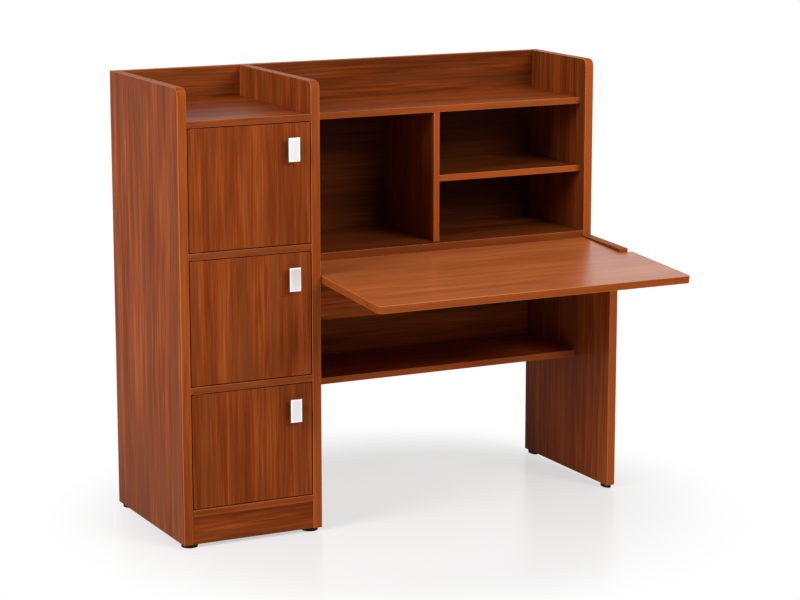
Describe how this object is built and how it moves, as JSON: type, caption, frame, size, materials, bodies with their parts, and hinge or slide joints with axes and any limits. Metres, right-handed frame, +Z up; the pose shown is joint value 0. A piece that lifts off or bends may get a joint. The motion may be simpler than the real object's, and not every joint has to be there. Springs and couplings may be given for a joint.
{
  "type": "study unit with fold-down desk",
  "caption": "Study unit: a tower of door-fronted lockers beside an open shelved hutch, with a sloping desk flap that swings up about its rear edge to close the hutch.",
  "frame": {"origin": "on the floor, under the middle of the box round the whole unit with its flap open", "axes": "+X to the right of someone facing the unit, +Y from the flap's front edge to the back, +Z up"},
  "size_m": [1.322, 0.8186, 1.2],
  "materials": {
    "cherry_laminate": "satin-gloss cherry wood laminate",
    "flap_laminate": "gloss cherry wood laminate",
    "back_board": "satin printed hardboard",
    "stained_hardwood": "stained and lacquered",
    "beech": "plain, unfinished",
    "satin_aluminium": "satin anodised",
    "plated_steel": "zinc plated",
    "brass": "polished",
    "brown_plastic": "moulded",
    "black_plastic": "moulded, fine grained"
  },
  "bodies": {
    "carcass": {"magnetic_catch_lower": "brown_plastic", "magnetic_catch_middle": "brown_plastic", "magnetic_catch_upper": "brown_plastic", "door_pivot_blocks": "brown_plastic", "flap_pivot_blocks": "brown_plastic", "flap_batten_left": "stained_hardwood", "flap_batten_right": "stained_hardwood", "flap_latch": "brass", "loose_tongues": "beech", "feet": "black_plastic", "tower_left_side": "cherry_laminate", "tower_right_side": "cherry_laminate", "tower_bottom": "cherry_laminate", "tower_shelf_lower": "cherry_laminate", "tower_shelf_upper": "cherry_laminate", "tower_top": "cherry_laminate", "tower_plinth": "cherry_laminate", "tower_back": "back_board", "tower_gallery": "cherry_laminate", "right_leg": "cherry_laminate", "leg_rail": "cherry_laminate", "hutch_right_side": "cherry_laminate", "hutch_floor": "cherry_laminate", "hutch_top_shelf": "cherry_laminate", "hutch_mid_shelf": "cherry_laminate", "hutch_divider": "cherry_laminate", "hutch_back": "back_board", "hutch_gallery": "cherry_laminate", "apron_rail": "cherry_laminate", "lower_shelf": "cherry_laminate", "lower_back": "back_board"},
    "door_lower": {"door_lower": "cherry_laminate", "handle_lower": "satin_aluminium", "door_pins_lower": "plated_steel", "strike_plate_lower": "plated_steel"},
    "door_middle": {"door_middle": "cherry_laminate", "handle_middle": "satin_aluminium", "door_pins_middle": "plated_steel", "strike_plate_middle": "plated_steel"},
    "door_upper": {"door_upper": "cherry_laminate", "handle_upper": "satin_aluminium", "door_pins_upper": "plated_steel", "strike_plate_upper": "plated_steel"},
    "flap": {"desk_flap": "flap_laminate", "flap_pivot_pins": "plated_steel", "flap_keep_plate": "brass"}
  },
  "joints": [
    {"name": "door_lower_swing", "type": "hinge", "parent": "carcass", "child": "door_lower", "pos_m": [-0.613, -0.06071, 0.256], "axis": [0, 0, -1], "range_deg": [0, 110]},
    {"name": "door_middle_swing", "type": "hinge", "parent": "carcass", "child": "door_middle", "pos_m": [-0.613, -0.06071, 0.5935], "axis": [0, 0, -1], "range_deg": [0, 110]},
    {"name": "door_upper_swing", "type": "hinge", "parent": "carcass", "child": "door_upper", "pos_m": [-0.613, -0.06071, 0.9375], "axis": [0, 0, -1], "range_deg": [0, 110]},
    {"name": "flap_swing", "type": "hinge", "parent": "carcass", "child": "flap", "pos_m": [0, 0.07829, 0.689], "axis": [-1, 0, 0], "range_deg": [0, 93.6]}
  ]
}
